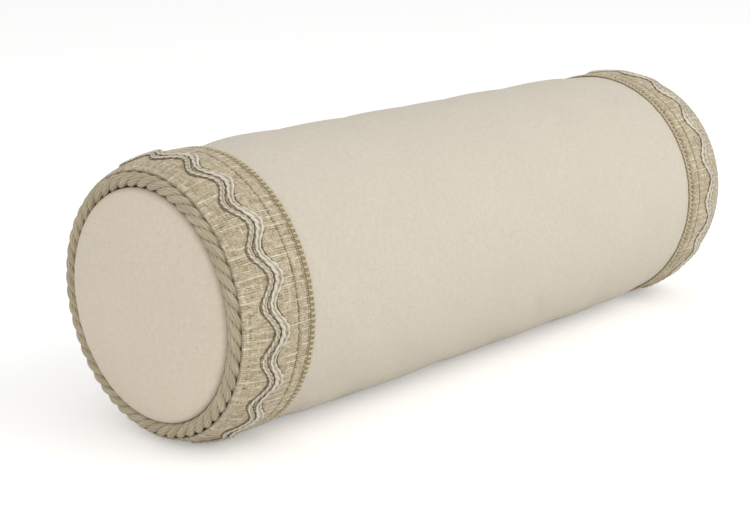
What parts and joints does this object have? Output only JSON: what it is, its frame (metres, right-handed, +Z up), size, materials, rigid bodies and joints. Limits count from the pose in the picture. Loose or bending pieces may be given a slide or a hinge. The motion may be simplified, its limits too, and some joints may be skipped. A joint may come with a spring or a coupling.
{
  "type": "bolster pillow",
  "caption": "Round bolster pillow with a zipped linen cover, twisted cord in its end seams and woven trim bands with wavy cords.",
  "frame": {"origin": "on the surface the pillow rests on, under the middle of its bounding box", "axes": "+X along the pillow from its left end to its right end, +Z up, the zip on the +Y side"},
  "size_m": [0.5314, 0.1842, 0.1799],
  "materials": {
    "linen": "plain woven linen, matt",
    "trim": "ribbed woven braid, soft sheen",
    "cord": "twisted rayon cord, soft sheen",
    "satin": "satin cord, silky sheen",
    "ticking": "plain cotton ticking, matt",
    "batting": "fluffy polyester",
    "foam": "open-cell foam, matt",
    "zip_tape": "woven polyester tape, matt",
    "zip_coil": "nylon coil, satin",
    "zip_metal": "brushed antique brass"
  },
  "bodies": {
    "pillow": {"foam_core": "foam", "batting_wrap": "batting", "insert_tube": "ticking", "insert_end_left": "ticking", "insert_end_right": "ticking", "body_panel": "linen", "end_panel_left": "linen", "end_panel_right": "linen", "seam_cord_left": "cord", "seam_cord_right": "cord", "cord_lip_left": "ticking", "cord_lip_right": "ticking", "trim_band_left": "trim", "trim_band_right": "trim", "picot_edge_left": "trim", "picot_edge_right": "trim", "wave_cord_outer_left": "satin", "wave_cord_outer_right": "satin", "wave_cord_inner_left": "satin", "wave_cord_inner_right": "satin", "zipper_tape_upper": "zip_tape", "zipper_tape_lower": "zip_tape", "zipper_coil_upper": "zip_coil", "zipper_coil_lower": "zip_coil", "zipper_top_stop_upper": "zip_metal", "zipper_top_stop_lower": "zip_metal", "zipper_bottom_stop": "zip_metal"},
    "zip_slider": {"zipper_slider": "zip_metal"},
    "zip_pull": {"zipper_pull": "zip_metal"}
  },
  "joints": [
    {"name": "zip_slide", "type": "slide", "parent": "pillow", "child": "zip_slider", "axis": [1, 0, 0], "range_m": [0, 0.328]},
    {"name": "pull_hinge", "type": "hinge", "parent": "zip_slider", "child": "zip_pull", "pos_m": [-0.165, 0.09041, 0.10076], "axis": [0, -0.1392, 0.9903], "range_deg": [0, 175]}
  ]
}
